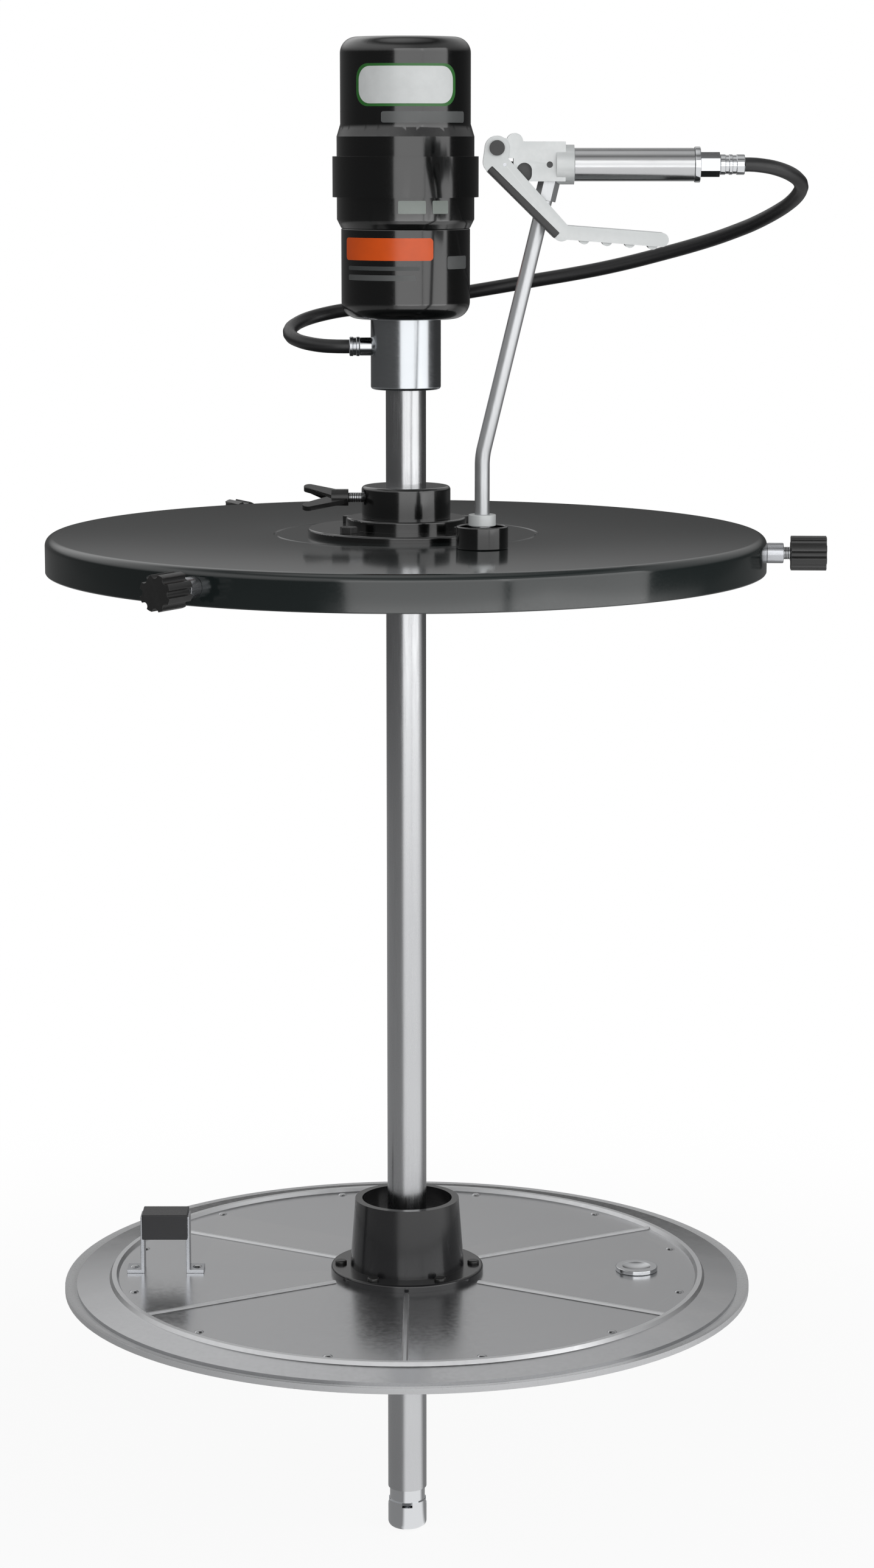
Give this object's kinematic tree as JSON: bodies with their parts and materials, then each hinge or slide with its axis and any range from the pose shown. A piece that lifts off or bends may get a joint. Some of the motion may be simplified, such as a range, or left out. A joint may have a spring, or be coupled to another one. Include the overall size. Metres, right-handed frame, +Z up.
{
  "type": "air-operated grease pump",
  "caption": "Air-operated drum grease pump: motor on a long suction tube through a clamped drum cover, follower plate on the tube, and a parked lever gun on a hose.",
  "frame": {"origin": "on the suction tube's axis, in the plane where the cover's gasket seats on the drum's rim", "axes": "+Z up along the suction tube, +X to the side that the gun's handle points to, -Y to the front"},
  "size_m": [0.6497, 0.619, 1.275],
  "materials": {
    "cover_paint": "semi-gloss dark grey paint",
    "black_paint": "semi-gloss black paint",
    "black_rubber": "matt black rubber",
    "bright_steel": "bright plated steel",
    "satin_steel": "satin steel",
    "plate_steel": "dull grey steel sheet",
    "grey_rubber": "matt grey rubber",
    "pale_aluminium": "pale cast aluminium",
    "brass": "plain brass",
    "label": "printed film, no lettering",
    "black_plastic": "matt black moulded plastic"
  },
  "bodies": {
    "cover": {"drum_cover": "cover_paint", "cover_gasket": "black_rubber", "cover_hub": "black_paint", "hub_seal": "black_rubber", "hub_bolts": "black_paint", "hub_nuts": "satin_steel", "gun_holder": "black_paint", "rim_bosses": "satin_steel", "hose": "black_rubber"},
    "pump": {"motor_base": "black_paint", "motor_band": "black_paint", "motor_cap": "black_paint", "air_inlet": "brass", "muffler": "brass", "motor_labels": "label", "spool_ring": "satin_steel", "outlet_housing": "satin_steel", "rod_packing": "black_rubber", "outlet_fitting": "bright_steel", "pump_ferrule": "satin_steel", "suction_tube": "bright_steel", "foot_valve": "bright_steel"},
    "piston": {"air_piston": "pale_aluminium", "piston_seal": "black_rubber", "piston_rod": "bright_steel", "plunger": "satin_steel"},
    "plunger_check": {"plunger_ball": "bright_steel"},
    "foot_check": {"foot_ball": "bright_steel"},
    "air_valve": {"air_spool": "satin_steel"},
    "follower": {"follower_plate": "plate_steel", "follower_lip": "grey_rubber", "lip_clamp_ring": "satin_steel", "wiper_hub": "black_rubber", "wiper_screws": "black_paint", "follower_strap": "satin_steel", "follower_rivets": "satin_steel", "follower_grip": "black_plastic", "vent_plug": "bright_steel"},
    "gun": {"gun_body": "pale_aluminium", "gun_handle": "satin_steel", "handle_end": "bright_steel", "pivot_pin": "black_paint", "pipe_nut": "bright_steel", "outlet_pipe": "bright_steel", "coupler_collar": "pale_aluminium", "coupler": "bright_steel", "valve_spring": "satin_steel"},
    "trigger": {"lever": "pale_aluminium", "lever_roller": "satin_steel"},
    "stem": {"valve_stem": "bright_steel"},
    "swivel": {"swivel_nut": "bright_steel", "gun_ferrule": "satin_steel"},
    "hub_pad": {"clamp_pad": "brass"},
    "hub_screw": {"clamp_screw": "black_paint"},
    "pad_right": {"rim_pad_right": "brass"},
    "screw_right": {"rim_screw_right": "black_paint"},
    "pad_back": {"rim_pad_back": "brass"},
    "screw_back": {"rim_screw_back": "black_paint"},
    "pad_front": {"rim_pad_front": "brass"},
    "screw_front": {"rim_screw_front": "black_paint"}
  },
  "joints": [
    {"name": "pump_height", "type": "slide", "parent": "cover", "child": "pump", "axis": [0, 0, 1], "range_m": [-0.075, 0.1], "deforming": ["hose"]},
    {"name": "piston_stroke", "type": "slide", "parent": "pump", "child": "piston", "axis": [0, 0, 1], "range_m": [0, 0.085]},
    {"name": "plunger_ball_lift", "type": "slide", "parent": "piston", "child": "plunger_check", "axis": [0, 0, 1], "range_m": [0, 0.003]},
    {"name": "foot_ball_lift", "type": "slide", "parent": "pump", "child": "foot_check", "axis": [0, 0, 1], "range_m": [0, 0.003]},
    {"name": "air_valve_shift", "type": "slide", "parent": "pump", "child": "air_valve", "axis": [0, 0, 1], "range_m": [0, 0.008]},
    {"name": "follower_height", "type": "slide", "parent": "pump", "child": "follower", "axis": [0, 0, 1], "range_m": [-0.16, 0.42]},
    {"name": "gun_lift", "type": "slide", "parent": "cover", "child": "gun", "axis": [0, 0, 1], "range_m": [0, 0.12], "deforming": ["hose"]},
    {"name": "lever_pull", "type": "hinge", "parent": "gun", "child": "trigger", "pos_m": [0.073, -0.115, 0.323], "axis": [0, -1, 0], "range_deg": [0, 14], "stiffness_Nm_per_rad": 1.5, "springref_deg": -17.19},
    {"name": "valve_open", "type": "slide", "parent": "gun", "child": "stem", "axis": [1, 0, 0], "range_m": [0, 0.0034], "deforming": ["valve_spring"]},
    {"name": "swivel_turn", "type": "hinge", "parent": "gun", "child": "swivel", "pos_m": [0.2414, -0.115, 0.31], "axis": [1, 0, 0], "continuous": true},
    {"name": "hub_pad_move", "type": "slide", "parent": "cover", "child": "hub_pad", "axis": [-1, 0, 0], "range_m": [0, 0.0026]},
    {"name": "hub_screw_turn", "type": "hinge", "parent": "hub_pad", "child": "hub_screw", "pos_m": [-0.048, 0, 0.036], "axis": [-1, 0, 0], "range_deg": [0, 720]},
    {"name": "pad_right_move", "type": "slide", "parent": "cover", "child": "pad_right", "axis": [0.999, -0.0436, 0], "range_m": [-0.0031, 0.0031]},
    {"name": "screw_right_turn", "type": "hinge", "parent": "pad_right", "child": "screw_right", "pos_m": [0.3197, -0.01396, -0.009], "axis": [0.999, -0.0436, 0], "range_deg": [-720, 720]},
    {"name": "pad_back_move", "type": "slide", "parent": "cover", "child": "pad_back", "axis": [-0.4617, 0.887, 0], "range_m": [-0.0031, 0.0031]},
    {"name": "screw_back_turn", "type": "hinge", "parent": "pad_back", "child": "screw_back", "pos_m": [-0.14776, 0.28384, -0.009], "axis": [-0.4617, 0.887, 0], "range_deg": [-720, 720]},
    {"name": "pad_front_move", "type": "slide", "parent": "cover", "child": "pad_front", "axis": [-0.5373, -0.8434, 0], "range_m": [-0.0031, 0.0031]},
    {"name": "screw_front_turn", "type": "hinge", "parent": "pad_front", "child": "screw_front", "pos_m": [-0.17194, -0.26988, -0.009], "axis": [-0.5373, -0.8434, 0], "range_deg": [-720, 720]}
  ],
  "couplings": [
    {"joint": "valve_open", "follows": "lever_pull", "m_per_rad": 0.013},
    {"joint": "hub_pad_move", "follows": "hub_screw_turn", "m_per_rad": 0.00019894},
    {"joint": "pad_right_move", "follows": "screw_right_turn", "m_per_rad": 0.00023873},
    {"joint": "pad_back_move", "follows": "screw_back_turn", "m_per_rad": 0.00023873},
    {"joint": "pad_front_move", "follows": "screw_front_turn", "m_per_rad": 0.00023873}
  ]
}
